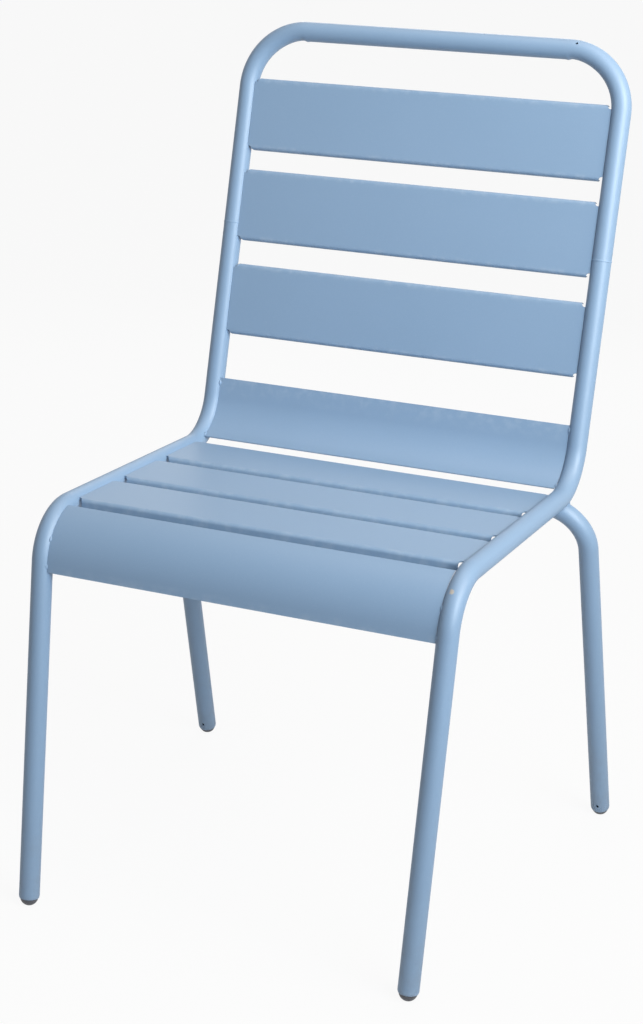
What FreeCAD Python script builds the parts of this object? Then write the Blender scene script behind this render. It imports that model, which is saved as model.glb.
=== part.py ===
import FreeCAD, Part
import math
import os

os.makedirs("parts", exist_ok=True)
V = FreeCAD.Vector

# Stacking chair: bent steel tube frame with folded sheet steel slats, welded and powder coated.
# Front is -Y, up is +Z, right is +X as seen from the front.  Millimetres.
# While it is drawn, y is measured from the bend at the front of the seat rails.
# The finished parts are moved so that the origin is on the floor, in the middle of the footprint.

# ---- overall sizes ----
OVERALL_HEIGHT = 897.0
FRAME_SPACING = 447.0          # between the axes of the two side frames
SEAT_RAIL_DEPTH = 377.0        # front bend corner to back bend corner
SEAT_RAIL_HEIGHT = 420.0       # tube axis at the front bend corner
SEAT_RAIL_FALL = 1.0           # the rail is this much lower at the back bend corner
BACK_LEAN = 99.0               # how far the top of the back stands behind the back bend corner
FRONT_LEG_REACH = 45.0         # how far the front feet stand in front of the front bend corner
FRONT_LEG_TOE_IN = 7.5         # each front foot stands inside its seat rail
REAR_SHOULDER_OUTSET = 29.0    # corner of each rear leg's bend, outside the seat rail
REAR_SHOULDER_AHEAD = 35.0     # and in front of the back bend corner
REAR_SHOULDER_DROP = 11.0      # and below the seat rail's axis
REAR_FOOT_OUTSET = 38.5        # each rear foot stands outside its seat rail
REAR_FOOT_BEHIND = 94.0        # and behind the back bend corner

# ---- tube ----
TUBE_DIAMETER = 22.0
TUBE_WALL = 1.2
FRONT_BEND = 55.0
BACK_BEND = 60.0
TOP_CORNER_BEND = 66.0
REAR_LEG_BEND = 52.0
JOINT_DOWN_BACK = 225.0        # butt joint of hoop and side frame, from the top corner
SLEEVE_LENGTH = 70.0
SLEEVE_WALL = 1.5
SLEEVE_CLEARANCE = 0.1         # radial, sleeve to tube bore
LEG_END_PAST_RAIL = 8.0        # rear leg tube runs this far inside the seat rail's axis
VENT_DIAMETER = 3.0
VENT_FROM_CORNER = 57.0        # vent hole in the top rail, from the frame corner
DRAIN_DIAMETER = 3.4
DRAIN_HEIGHT = 14.0            # drain hole in each rear leg, along the leg from the floor

# ---- tube ends and feet ----
CRIMP_HEIGHT = 11.0            # the tube's end is swaged inwards from this height
CRIMP_RADIUS = 8.0
TUBE_END_HEIGHT = 8.0          # end of the tube above the floor, along the leg
PLUG_EDGE_INSET = 0.7          # plug's edge inside the edge of the tube's end
PLUG_FLAT_RADIUS = 4.0
PLUG_STEM_CLEARANCE = 0.2
PLUG_COLLAR_CLEARANCE = 0.2
PLUG_COLLAR_THICKNESS = 1.2

# ---- slats ----
SHEET = 1.5
SLAT_WIDTH = 82.5
FACE_HEIGHT = 6.0              # slat face in front of, or above, the tube axis
FLANGE_DEPTH = 9.0             # folded edge, measured from the face
EDGE_FOLD_RADIUS = 4.0
END_GAP = 0.3                  # slat end to tube
NOTCH_LENGTH = 8.0             # folded edges stop this far from the tube
NOTCH_DEPTH = 4.5
BACK_SLAT_TOPS = (57.0, 162.0, 272.0)      # along the back, from the top corner
SEAT_SLAT_AFTER_BEND = 1.0     # the seat slats share the straight run that starts here
LUMBAR_ABOVE_BEND = 21.5
LUMBAR_BEND_TURN = 61.0        # degrees of the back bend that the lumbar slat follows
FRONT_SLAT_SKIPPED_TURN = 17.0 # degrees of the front bend before the front slat starts
FRONT_SLAT_BELOW_BEND = 9.3

# ---- welds ----
RING_WELD_WIDTH = 3.2
RING_WELD_HEIGHT = 0.35
LEG_WELD_SIZE = 1.6
TACK_RADIUS = 3.2
TACK_FROM_EDGE = 14.0
TACK_BELOW_FLAT_SLAT = 2.2     # centre of a tack under a flat slat's sheet

TUBE_RADIUS = TUBE_DIAMETER / 2
BORE_RADIUS = TUBE_RADIUS - TUBE_WALL
HALF_FRAME = FRAME_SPACING / 2
SIDES = (("left", -1), ("right", 1))


# ---------------------------------------------------------------- tubes

def bent_path(corners, radii):
    """Straight runs and tangent arcs through the corners."""
    runs = []
    start = corners[0]
    for i in range(1, len(corners) - 1):
        back = (corners[i - 1] - corners[i]).normalize()
        ahead = (corners[i + 1] - corners[i]).normalize()
        turn = math.pi - back.getAngle(ahead)
        radius = radii[i - 1]
        reach = radius * math.tan(turn / 2)
        arc_start = corners[i] + back * reach
        arc_end = corners[i] + ahead * reach
        middle = (back + ahead).normalize()
        centre = corners[i] + middle * (radius / math.cos(turn / 2))
        axis = (arc_start - centre).cross(arc_end - centre).normalize()
        runs.append(("line", start, arc_start))
        runs.append(("arc", arc_start, back * -1, centre, axis, math.degrees(turn)))
        start = arc_end
    runs.append(("line", start, corners[-1]))
    return runs


def joined(solids):
    """One solid from pieces that share faces."""
    if len(solids) == 1:
        return solids[0]
    return solids[0].multiFuse(solids[1:]).removeSplitter()


def round_bar(corners, radii, radius):
    """Solid round bar along a bent path."""
    pieces = []
    for run in bent_path(corners, radii):
        if run[0] == "line":
            length = (run[2] - run[1]).Length
            pieces.append(Part.makeCylinder(radius, length, run[1], run[2] - run[1]))
        else:
            _, start, heading, centre, axis, angle = run
            disc = Part.Face(Part.Wire(Part.makeCircle(radius, start, heading)))
            pieces.append(disc.revolve(centre, axis, angle))
    return joined(pieces)


def turned(points, bulge=None):
    """Solid of revolution about +Z.  points are (radius, height); bulge rounds one side."""
    at = [V(r, 0, h) for r, h in points]
    edges = []
    for i, here in enumerate(at):
        there = at[(i + 1) % len(at)]
        if bulge and bulge[0] == i:
            edges.append(Part.Arc(here, V(bulge[1][0], 0, bulge[1][1]), there).toShape())
        else:
            edges.append(Part.LineSegment(here, there).toShape())
    return Part.Face(Part.Wire(edges)).revolve(V(0, 0, 0), V(0, 0, 1), 360)


def on_leg(shape, foot, up):
    """Carry a shape drawn about +Z from the origin to a leg's axis at the floor."""
    placed = shape.copy()
    placed.Placement = FreeCAD.Placement(foot, FreeCAD.Rotation(V(0, 0, 1), up))
    return placed


def swaged_end(radius, swage_radius):
    """Tube end curved inwards, from the end of the tube up to the crimp height."""
    centre = radius - swage_radius
    drop = CRIMP_HEIGHT - TUBE_END_HEIGHT
    end = centre + math.sqrt(swage_radius ** 2 - drop ** 2)
    half_turn = math.asin(drop / swage_radius) / 2
    middle = (centre + swage_radius * math.cos(half_turn),
              CRIMP_HEIGHT - swage_radius * math.sin(half_turn))
    outline = [(0, TUBE_END_HEIGHT), (end, TUBE_END_HEIGHT), (radius, CRIMP_HEIGHT), (0, CRIMP_HEIGHT)]
    return turned(outline, (1, middle)), end


def side_corners(side):
    """Corners of one side frame's axis, from the top of the back down to the front foot."""
    x = side * HALF_FRAME
    return [V(x, SEAT_RAIL_DEPTH + BACK_LEAN, OVERALL_HEIGHT - TUBE_RADIUS),
            V(x, SEAT_RAIL_DEPTH, SEAT_RAIL_HEIGHT - SEAT_RAIL_FALL),
            V(x, 0, SEAT_RAIL_HEIGHT),
            V(side * (HALF_FRAME - FRONT_LEG_TOE_IN), -FRONT_LEG_REACH, 0)]


def leg_corners(side):
    """Corners of one rear leg's axis; it is drawn from the middle plane and trimmed at the rail."""
    shoulder = V(side * (HALF_FRAME + REAR_SHOULDER_OUTSET), SEAT_RAIL_DEPTH - REAR_SHOULDER_AHEAD,
                 SEAT_RAIL_HEIGHT - SEAT_RAIL_FALL - REAR_SHOULDER_DROP)
    foot = V(side * (HALF_FRAME + REAR_FOOT_OUTSET), SEAT_RAIL_DEPTH + REAR_FOOT_BEHIND, 0)
    return [V(0, shoulder.y, shoulder.z), shoulder, foot]


def leg_up(corners):
    """Direction from a foot up its leg."""
    return (corners[-2] - corners[-1]).normalize()


def leg_tube(corners, radii):
    """Outer bar, bore and finished tube for a tube that ends in a swaged foot."""
    foot = corners[-1]
    up = leg_up(corners)
    shortened = corners[:-1] + [foot + up * CRIMP_HEIGHT]
    outer_end, _ = swaged_end(TUBE_RADIUS, CRIMP_RADIUS)
    inner_end, throat = swaged_end(BORE_RADIUS, CRIMP_RADIUS - TUBE_WALL)
    mouth = Part.makeCylinder(throat, TUBE_END_HEIGHT, V(0, 0, 1))
    outer = joined([round_bar(shortened, radii, TUBE_RADIUS), on_leg(outer_end, foot, up)])
    bore = round_bar(shortened, radii, BORE_RADIUS).multiFuse(
        [on_leg(inner_end, foot, up), on_leg(mouth, foot, up)])
    return outer, outer.cut(bore)


# ---------------------------------------------------------------- the side frame as a line

top_corner, rear_corner, front_corner, front_foot = side_corners(1)
back_length = (top_corner - rear_corner).Length
seat_length = (rear_corner - front_corner).Length
leg_length = (front_corner - front_foot).Length
back_turn = math.pi - (top_corner - rear_corner).getAngle(front_corner - rear_corner)
front_turn = math.pi - (rear_corner - front_corner).getAngle(front_foot - front_corner)
back_reach = BACK_BEND * math.tan(back_turn / 2)
front_reach = FRONT_BEND * math.tan(front_turn / 2)

back_bend_starts = back_length - back_reach
back_bend_ends = back_bend_starts + BACK_BEND * back_turn
front_bend_starts = back_bend_ends + seat_length - back_reach - front_reach
front_bend_ends = front_bend_starts + FRONT_BEND * front_turn


def turned_left(direction, angle):
    """A direction in the YZ plane turned by an angle, away from the sitter."""
    c = math.cos(angle)
    s = math.sin(angle)
    return V(0, direction.y * c - direction.z * s, direction.y * s + direction.z * c)


def face_pose(distance, height):
    """Point on the side frame's line and its heading, in the middle plane of the chair.

    distance runs along the tube's axis from the top corner; height is towards the sitter.
    """
    heading = V(0, rear_corner.y - top_corner.y, rear_corner.z - top_corner.z).normalize()
    point = V(0, top_corner.y, top_corner.z)
    runs = ((back_bend_starts, 0), (BACK_BEND * back_turn, -BACK_BEND),
            (front_bend_starts - back_bend_ends, 0), (FRONT_BEND * front_turn, FRONT_BEND),
            (leg_length, 0))
    left = distance
    for length, radius in runs:
        step = min(left, length)
        away = turned_left(heading, math.pi / 2)
        if radius:
            angle = step / radius
            centre = point + away * radius
            point = centre + turned_left(point - centre, angle)
            heading = turned_left(heading, angle)
        else:
            point = point + heading * step
        left -= step
        if left <= 0:
            break
    return point - turned_left(heading, math.pi / 2) * height, heading


# ---------------------------------------------------------------- sheet slats

def across(face):
    """Extrude a section drawn in the middle plane to both sides, a little way into the tubes."""
    half_chord = math.sqrt(TUBE_RADIUS ** 2 - FACE_HEIGHT ** 2)
    reach = HALF_FRAME - half_chord / 2
    blank = face.extrude(V(2 * reach, 0, 0))
    blank.translate(V(-reach, 0, 0))
    return blank


def folded_sheet(point, heading, steps):
    """Solids of a sheet that follows the steps from a point on its face.

    A step is (length, 0), a flat stretch, or (radius, angle), a bend whose face has that radius.
    The sheet lies on the left of the heading; a positive angle turns to the left.
    """
    solids = []
    for size, angle in steps:
        away = turned_left(heading, math.pi / 2)
        if angle == 0:
            ahead = point + heading * size
            outline = Part.makePolygon([point, ahead, ahead + away * SHEET, point + away * SHEET, point])
            solids.append(across(Part.Face(outline)))
            point = ahead
            continue
        side = 1 if angle > 0 else -1
        centre = point + away * (side * size)
        rim = point - centre
        back = rim * ((size - side * SHEET) / size)
        edges = [Part.Arc(centre + rim, centre + turned_left(rim, angle / 2),
                          centre + turned_left(rim, angle)).toShape(),
                 Part.LineSegment(centre + turned_left(rim, angle),
                                  centre + turned_left(back, angle)).toShape(),
                 Part.Arc(centre + turned_left(back, angle), centre + turned_left(back, angle / 2),
                          centre + back).toShape(),
                 Part.LineSegment(centre + back, centre + rim).toShape()]
        solids.append(across(Part.Face(Part.Wire(edges))))
        point = centre + turned_left(rim, angle)
        heading = turned_left(heading, angle)
    return solids


def mirrored(shape):
    return shape.mirror(V(0, 0, 0), V(1, 0, 0))


def end_notches(start):
    """Prisms that cut the folded edges away next to the tubes, at a flat slat's four corners."""
    tube_face = HALF_FRAME - math.sqrt(TUBE_RADIUS ** 2 - FACE_HEIGHT ** 2)
    inner = tube_face - NOTCH_LENGTH
    outer = HALF_FRAME
    corner, heading = face_pose(start, FACE_HEIGHT + 1)
    away = turned_left(heading, math.pi / 2)
    depth = away * (FLANGE_DEPTH + 2)
    margin = 1.0
    cuts = []
    for edge, inward in ((corner, heading), (corner + heading * SLAT_WIDTH, heading * -1)):
        points = ((inner, -margin), (inner, SHEET), (tube_face, NOTCH_DEPTH), (outer, NOTCH_DEPTH),
                  (outer, -margin), (inner, -margin))
        outline = Part.makePolygon([edge + V(x, 0, 0) + inward * s for x, s in points])
        prism = Part.Face(outline).extrude(depth)
        cuts += [prism, mirrored(prism)]
    return cuts


def flat_slat_blank(start):
    """Flat slat with both long edges folded back, before its ends are cut to the tubes."""
    fold = (EDGE_FOLD_RADIUS, math.pi / 2)
    lip = (FLANGE_DEPTH - EDGE_FOLD_RADIUS, 0)
    corner, heading = face_pose(start, FACE_HEIGHT)
    lip_end = corner + turned_left(heading, math.pi / 2) * FLANGE_DEPTH
    toward_face = turned_left(heading, -math.pi / 2)
    steps = [lip, fold, (SLAT_WIDTH - 2 * EDGE_FOLD_RADIUS, 0), fold, lip]
    return joined(folded_sheet(lip_end, toward_face, steps))


def lumbar_blank():
    """Curved slat that follows the bend between back and seat."""
    point, heading = face_pose(back_bend_starts - LUMBAR_ABOVE_BEND, FACE_HEIGHT)
    steps = [(LUMBAR_ABOVE_BEND, 0), (BACK_BEND - FACE_HEIGHT, -math.radians(LUMBAR_BEND_TURN))]
    return joined(folded_sheet(point, heading, steps))


def front_slat_blank():
    """Curved slat that rolls over the front of the seat."""
    skipped = math.radians(FRONT_SLAT_SKIPPED_TURN)
    point, heading = face_pose(front_bend_starts + FRONT_BEND * skipped, FACE_HEIGHT)
    steps = [(FRONT_BEND + FACE_HEIGHT, front_turn - skipped), (FRONT_SLAT_BELOW_BEND, 0)]
    return joined(folded_sheet(point, heading, steps))


def tacks(distances, height, blank, frame_bars):
    """Weld tacks in the corner between a slat's end and the tube, at both sides."""
    beads = []
    for distance in distances:
        point, _ = face_pose(distance, height)
        corner = HALF_FRAME - math.sqrt(TUBE_RADIUS ** 2 - height ** 2)
        for side in (-1, 1):
            beads.append(Part.makeSphere(TACK_RADIUS, V(side * corner, point.y, point.z)))
    return Part.makeCompound([bead.cut([blank] + frame_bars) for bead in beads])


# ---------------------------------------------------------------- build

parts = {}
frame_radii = [BACK_BEND, FRONT_BEND]

# Back hoop: both uprights and the top rail in one tube, down to the butt joints.
joint, joint_heading = face_pose(JOINT_DOWN_BACK, 0)
hoop_line = [V(-HALF_FRAME, joint.y, joint.z), side_corners(-1)[0], side_corners(1)[0],
             V(HALF_FRAME, joint.y, joint.z)]
hoop_radii = [TOP_CORNER_BEND, TOP_CORNER_BEND]
hoop_bar = round_bar(hoop_line, hoop_radii, TUBE_RADIUS)
hoop = hoop_bar.cut(round_bar(hoop_line, hoop_radii, BORE_RADIUS))
vent_direction = V(0, -1, 1).normalize()
vent_start = V(HALF_FRAME - VENT_FROM_CORNER, top_corner.y, top_corner.z)
parts["back_hoop"] = hoop.cut(Part.makeCylinder(VENT_DIAMETER / 2, TUBE_DIAMETER, vent_start, vent_direction))

# Side frames, rear legs, their sleeves, feet and welds.
frame_bars = [hoop_bar]
for name, side in SIDES:
    line = side_corners(side)
    line[0] = V(side * HALF_FRAME, joint.y, joint.z)
    rail_bar, rail = leg_tube(line, frame_radii)
    frame_bars.append(rail_bar)
    parts["side_frame_" + name] = rail

    line_leg = leg_corners(side)
    leg_bar, leg = leg_tube(line_leg, [REAR_LEG_BEND])
    trim = Part.makeCylinder(2 * TUBE_DIAMETER, HALF_FRAME - LEG_END_PAST_RAIL, line_leg[0], V(side, 0, 0))
    leg_up_direction = leg_up(line_leg)
    drain_start = line_leg[-1] + leg_up_direction * DRAIN_HEIGHT
    drain = Part.makeCylinder(DRAIN_DIAMETER / 2, TUBE_DIAMETER, drain_start, V(0, -1, 0))
    parts["rear_leg_" + name] = leg.cut([trim, rail_bar, drain])

    wide_leg = round_bar(line_leg, [REAR_LEG_BEND], TUBE_RADIUS + LEG_WELD_SIZE)
    wide_rail = round_bar(line, frame_radii, TUBE_RADIUS + LEG_WELD_SIZE)
    parts["rear_leg_weld_" + name] = wide_leg.common(wide_rail).cut([leg_bar, rail_bar, trim])

    at_joint = V(side * HALF_FRAME, joint.y, joint.z)
    sleeve_start = at_joint - joint_heading * (SLEEVE_LENGTH / 2)
    sleeve_radius = BORE_RADIUS - SLEEVE_CLEARANCE
    sleeve = Part.makeCylinder(sleeve_radius, SLEEVE_LENGTH, sleeve_start, joint_heading)
    sleeve_bore = Part.makeCylinder(sleeve_radius - SLEEVE_WALL, SLEEVE_LENGTH, sleeve_start, joint_heading)
    parts["joint_sleeve_" + name] = sleeve.cut(sleeve_bore)
    half_width = RING_WELD_WIDTH / 2
    ring = turned([(TUBE_RADIUS, -half_width), (TUBE_RADIUS, half_width)],
                  (1, (TUBE_RADIUS + RING_WELD_HEIGHT, 0)))
    ring = on_leg(ring, at_joint, joint_heading * -1)
    frame_bars.append(ring)
    parts["hoop_weld_" + name] = ring

# Feet: a moulded plug in each swaged tube end, with a small flat on the floor.
_, throat_radius = swaged_end(BORE_RADIUS, CRIMP_RADIUS - TUBE_WALL)
_, tube_end_radius = swaged_end(TUBE_RADIUS, CRIMP_RADIUS)
plug_edge_radius = tube_end_radius - PLUG_EDGE_INSET
head_centre = ((plug_edge_radius ** 2 - PLUG_FLAT_RADIUS ** 2 + TUBE_END_HEIGHT ** 2)
               / (2 * TUBE_END_HEIGHT))
head_radius = math.hypot(PLUG_FLAT_RADIUS, head_centre)
head_slice = Part.makeCylinder(TUBE_DIAMETER, TUBE_DIAMETER + TUBE_END_HEIGHT, V(0, 0, -TUBE_DIAMETER))
plug_head = Part.makeSphere(head_radius, V(0, 0, head_centre)).common(head_slice)
plug_stem = Part.makeCylinder(throat_radius - PLUG_STEM_CLEARANCE,
                              CRIMP_HEIGHT - TUBE_END_HEIGHT, V(0, 0, TUBE_END_HEIGHT))
plug_collar = Part.makeCylinder(BORE_RADIUS - PLUG_COLLAR_CLEARANCE, PLUG_COLLAR_THICKNESS,
                                V(0, 0, CRIMP_HEIGHT))
plug = plug_head.multiFuse([plug_stem, plug_collar]).removeSplitter()
below_floor = Part.makeBox(2000, 2000, 100, V(-1000, -1000, -100))
for name, side in SIDES:
    for end, line in (("front", side_corners(side)), ("rear", leg_corners(side))):
        parts["foot_" + end + "_" + name] = on_leg(plug, line[-1], leg_up(line)).cut(below_floor)

# Flat slats, on the back and on the seat.
flat_slats = {}
for name, start in zip(("top", "middle", "lower"), BACK_SLAT_TOPS):
    flat_slats["back_slat_" + name] = start
first_seat_slat = back_bend_ends + SEAT_SLAT_AFTER_BEND
seat_slat_pitch = (front_bend_starts - SLAT_WIDTH - first_seat_slat) / 2
for i, name in enumerate(("rear", "middle", "front")):
    flat_slats["seat_slat_" + name] = first_seat_slat + seat_slat_pitch * i

gap_bars = [round_bar(hoop_line, hoop_radii, TUBE_RADIUS + END_GAP)]
for name, side in SIDES:
    line = side_corners(side)
    line[0] = V(side * HALF_FRAME, joint.y, joint.z)
    gap_bars.append(round_bar(line, frame_radii, TUBE_RADIUS + END_GAP))

under_flat_slat = FACE_HEIGHT - SHEET - TACK_BELOW_FLAT_SLAT
for name, start in flat_slats.items():
    blank = flat_slat_blank(start)
    parts[name] = blank.cut(end_notches(start) + gap_bars)
    ends = (start + TACK_FROM_EDGE, start + SLAT_WIDTH - TACK_FROM_EDGE)
    parts[name + "_welds"] = tacks(ends, under_flat_slat, blank, frame_bars)

# Curved slats: the lumbar slat and the front slat.
lumbar_top = back_bend_starts - LUMBAR_ABOVE_BEND
lumbar_bottom = back_bend_starts + BACK_BEND * math.radians(LUMBAR_BEND_TURN)
front_slat_top = front_bend_starts + FRONT_BEND * math.radians(FRONT_SLAT_SKIPPED_TURN)
front_slat_bottom = front_bend_ends + FRONT_SLAT_BELOW_BEND
curved_slats = {"lumbar_slat": (lumbar_blank(), lumbar_top, lumbar_bottom),
                "front_slat": (front_slat_blank(), front_slat_top, front_slat_bottom)}
for name, (blank, first, last) in curved_slats.items():
    parts[name] = blank.cut(gap_bars)
    ends = (first + TACK_FROM_EDGE, last - TACK_FROM_EDGE)
    parts[name + "_welds"] = tacks(ends, FACE_HEIGHT - SHEET / 2, blank, frame_bars)

# The origin goes to the floor, in the middle of the footprint.
whole = Part.makeCompound(list(parts.values())).optimalBoundingBox(False, False)
to_origin = V(0, -(whole.YMin + whole.YMax) / 2, -whole.ZMin)
print("moved by", to_origin)
print("size", whole.XLength, whole.YLength, whole.ZLength)

for name, shape in parts.items():
    shape.translate(to_origin)
    box = shape.optimalBoundingBox(False, False)
    print("%-26s solids %d valid %s volume %.1f  x %.1f..%.1f  y %.1f..%.1f  z %.1f..%.1f" % (
        name, len(shape.Solids), shape.isValid(), shape.Volume,
        box.XMin, box.XMax, box.YMin, box.YMax, box.ZMin, box.ZMax))
    shape.exportStep("parts/" + name + ".step")
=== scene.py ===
import math

import bmesh
import bpy
from mathutils import Matrix, Vector


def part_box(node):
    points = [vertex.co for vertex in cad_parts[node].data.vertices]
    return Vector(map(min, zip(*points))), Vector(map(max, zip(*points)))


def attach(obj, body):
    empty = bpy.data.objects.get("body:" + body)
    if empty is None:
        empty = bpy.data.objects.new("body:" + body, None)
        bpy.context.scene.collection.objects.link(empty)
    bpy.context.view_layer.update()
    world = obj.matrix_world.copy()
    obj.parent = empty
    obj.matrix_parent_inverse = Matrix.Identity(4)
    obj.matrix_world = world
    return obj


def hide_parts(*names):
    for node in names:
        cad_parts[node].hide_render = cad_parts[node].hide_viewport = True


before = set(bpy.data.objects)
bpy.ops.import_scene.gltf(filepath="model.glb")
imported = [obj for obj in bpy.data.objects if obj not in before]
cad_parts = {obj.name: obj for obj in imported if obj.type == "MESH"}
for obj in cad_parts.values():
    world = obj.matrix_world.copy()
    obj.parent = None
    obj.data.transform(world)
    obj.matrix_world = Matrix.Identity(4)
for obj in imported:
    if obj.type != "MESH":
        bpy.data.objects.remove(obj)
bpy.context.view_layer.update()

# ======================================================================== back hoop
# One length of 22 mm round steel tube, cold bent twice into two uprights and the top rail between
# them. The rail's underside kinks a little where each bend starts, and a 3 mm vent hole is drilled in
# it so that the coating oven's hot air can leave. Welded to the side frames and powder coated.

tube_radius = 0.011
tube_wall = 0.0012
top_bend = 0.066
back_lean = 0.099
seat_depth = 0.377
seat_rail_height = 0.420
seat_rail_fall = 0.001
joint_down_back = 0.225
vent_from_corner = 0.057
vent_radius = 0.0015
drill_reach = 0.02

# The kink gets rings of its own on the straight. Where its bulge and its hollow start, are full and
# end is measured from the start of the bend, and less than 0 is on the straight.
kink_points = 8
kink_step = 0.0012
kink_reach = 0.05
bulge_from, bulge_full, bulge_to = -0.0045, -0.0015, 0.001
hollow_from, hollow_full, hollow_fades, hollow_to = -0.0005, 0.003, 0.004, 0.035

# The coat's colours, how often each of its patterns repeats in a metre, the values between which a
# pattern sets in, and how strongly it shows.
coat_blue = (0.207, 0.320, 0.477)
coat_cloud = (0.2125, 0.326, 0.485)
speck_colour = (0.62, 0.70, 0.80)
rubbed_colour = (0.50, 0.58, 0.68)
# The dark grey near the floor is partly dust and partly painted shade, which darkens the legs towards the
# floor.
dust_and_shade_colour = (0.185, 0.200, 0.225)
bare_colour = (0.56, 0.48, 0.38)
tube_roughness = 0.50
tube_peel = 0.00005
clouds_per_metre = 7.0
specks_per_metre = 1500.0
peel_per_metre = 620.0
slow_peel_per_metre = 210.0
rubs_per_metre = 95.0
dust_per_metre = 34.0
chip_rags_per_metre = 260.0
cloud_band = (0.35, 0.65)
speck_band, speck_share = (0.60, 0.78), 0.10
rub_band, rub_share = (0.42, 0.72), 0.22
dust_band, dust_and_shade_least, dust_and_shade_more = (0.38, 0.70), 0.08, 0.22
dust_and_shade_height = 0.16

hoop_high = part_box("back_hoop")[1]
half_frame = hoop_high.x - tube_radius
top_corner = Vector((half_frame, hoop_high.y - tube_radius, hoop_high.z - tube_radius))
rear_corner = Vector((half_frame, top_corner.y - back_lean, seat_rail_height - seat_rail_fall))
down_back = (rear_corner - top_corner).normalized()
joint = top_corner + down_back * joint_down_back


class Wire:
    """An output socket of a node tree; arithmetic on it adds Math nodes to that tree."""

    def __init__(self, net, socket):
        self.net = net
        self.socket = socket

    def of(self, name):
        """Another output of the same node."""
        return Wire(self.net, self.socket.node.outputs[name])

    def math(self, operation, *values):
        return self.net.add("ShaderNodeMath", {"operation": operation}, dict(enumerate(values)))

    def __add__(self, other):
        return self.math("ADD", self, other)

    def __radd__(self, other):
        return self.math("ADD", other, self)

    def __sub__(self, other):
        return self.math("SUBTRACT", self, other)

    def __rsub__(self, other):
        return self.math("SUBTRACT", other, self)

    def __mul__(self, other):
        return self.math("MULTIPLY", self, other)

    def __rmul__(self, other):
        return self.math("MULTIPLY", other, self)

    def __truediv__(self, other):
        return self.math("DIVIDE", self, other)

    def __rtruediv__(self, other):
        return self.math("DIVIDE", other, self)

    def most(self, other):
        return self.math("MAXIMUM", self, other)

    def size(self):
        return self.math("ABSOLUTE", self)


class Net:
    """A node tree that is filled by calls to add."""

    def __init__(self, tree):
        self.tree = tree
        self.tree.nodes.clear()

    def add(self, kind, settings=None, values=None, out=0):
        """A node of a type: its settings first, then the values or wires of its sockets."""
        node = self.tree.nodes.new(kind)
        for name, value in (settings or {}).items():
            setattr(node, name, value)
        for name, value in (values or {}).items():
            if isinstance(value, Wire):
                self.tree.links.new(value.socket, node.inputs[name])
            else:
                node.inputs[name].default_value = value
        return Wire(self, node.outputs[out]) if len(node.outputs) else None

    def mix(self, share, low, high):
        """Colour between two colours."""
        low, high = ((*c, 1.0) if isinstance(c, tuple) else c for c in (low, high))
        return self.add("ShaderNodeMix", {"data_type": "RGBA"}, {0: share, 6: low, 7: high}, out=2)

    def noise(self, place, scale, detail=2.0, roughness=0.5, seed=None):
        """Cloudy noise around 0.5; a seed makes every piece's pattern its own."""
        values = {"Vector": place, "Scale": scale, "Detail": detail, "Roughness": roughness}
        if seed is None:
            return self.add("ShaderNodeTexNoise", values=values)
        return self.add("ShaderNodeTexNoise", {"noise_dimensions": "4D"}, {**values, "W": seed})

    def ease(self, value, low, high):
        """0 at low, 1 at high, with a soft start and end."""
        return self.add("ShaderNodeMapRange", {"interpolation_type": "SMOOTHSTEP"},
                        {"Value": value, "From Min": low, "From Max": high})


def new_material(name):
    """An empty node material, and the net to fill it with."""
    material = bpy.data.materials.new(name)
    material.use_nodes = True
    return material, Net(material.node_tree)


def powder_coat(name, roughness, peel_depth, chip=None):
    """Satin powder coat: cloudy colour, orange peel, dust and painted shade near the floor, and rubbed raw
    edges.

    A chip (place, reach) is a spot where the coat is knocked off.
    """
    material, net = new_material(name)
    place = net.add("ShaderNodeTexCoord", out="Object")
    height = net.add("ShaderNodeSeparateXYZ", values={0: place}, out="Z")
    clouds = net.noise(place, clouds_per_metre, detail=3.0)
    specks = net.noise(place, specks_per_metre, detail=1.0)
    peel = net.noise(place, peel_per_metre, detail=2.0, roughness=0.45)
    slow_peel = net.noise(place, slow_peel_per_metre, detail=1.0)
    edge = net.add("ShaderNodeAttribute", {"attribute_name": "edge"}, out="Fac")
    coat = net.mix(net.ease(clouds, *cloud_band), coat_blue, coat_cloud)
    coat = net.mix(net.ease(specks, *speck_band) * speck_share, coat, speck_colour)
    rubbed = edge * net.ease(net.noise(place, rubs_per_metre, detail=4.0), *rub_band)
    coat = net.mix(rubbed * rub_share, coat, rubbed_colour)
    # Dust and painted shade: the coat turns darker and greyer over the lowest stretch towards the floor, more
    # so in patches.
    dust_patches = net.ease(net.noise(place, dust_per_metre, detail=5.0, roughness=0.62), *dust_band)
    low_down = 1.0 - net.ease(height, 0.0, dust_and_shade_height)
    dust_and_shade = low_down * (dust_and_shade_least + dust_and_shade_more * dust_patches)
    coat = net.mix(dust_and_shade, coat, dust_and_shade_colour)
    dullness = roughness + 0.07 * (clouds - 0.5) + 0.10 * dust_and_shade + 0.08 * rubbed
    if chip:
        spot, reach = chip
        away = net.add("ShaderNodeVectorMath", {"operation": "DISTANCE"}, {0: place, 1: spot}, out="Value")
        ragged = away + 0.004 * (net.noise(place, chip_rags_per_metre, detail=3.0) - 0.5)
        bare = 1.0 - net.ease(ragged, reach * 0.6, reach)
        coat = net.mix(bare * 0.8, coat, bare_colour)
        dullness = dullness + 0.2 * bare
    relief = peel + 0.5 * slow_peel
    bump = net.add("ShaderNodeBump", values={"Strength": 1.0, "Distance": peel_depth, "Height": relief})
    shader = net.add("ShaderNodeBsdfPrincipled",
                     values={"Base Color": coat, "Roughness": dullness, "Normal": bump, "IOR": 1.5,
                             "Specular IOR Level": 0.8})
    net.add("ShaderNodeOutputMaterial", values={"Surface": shader})
    return material


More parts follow.
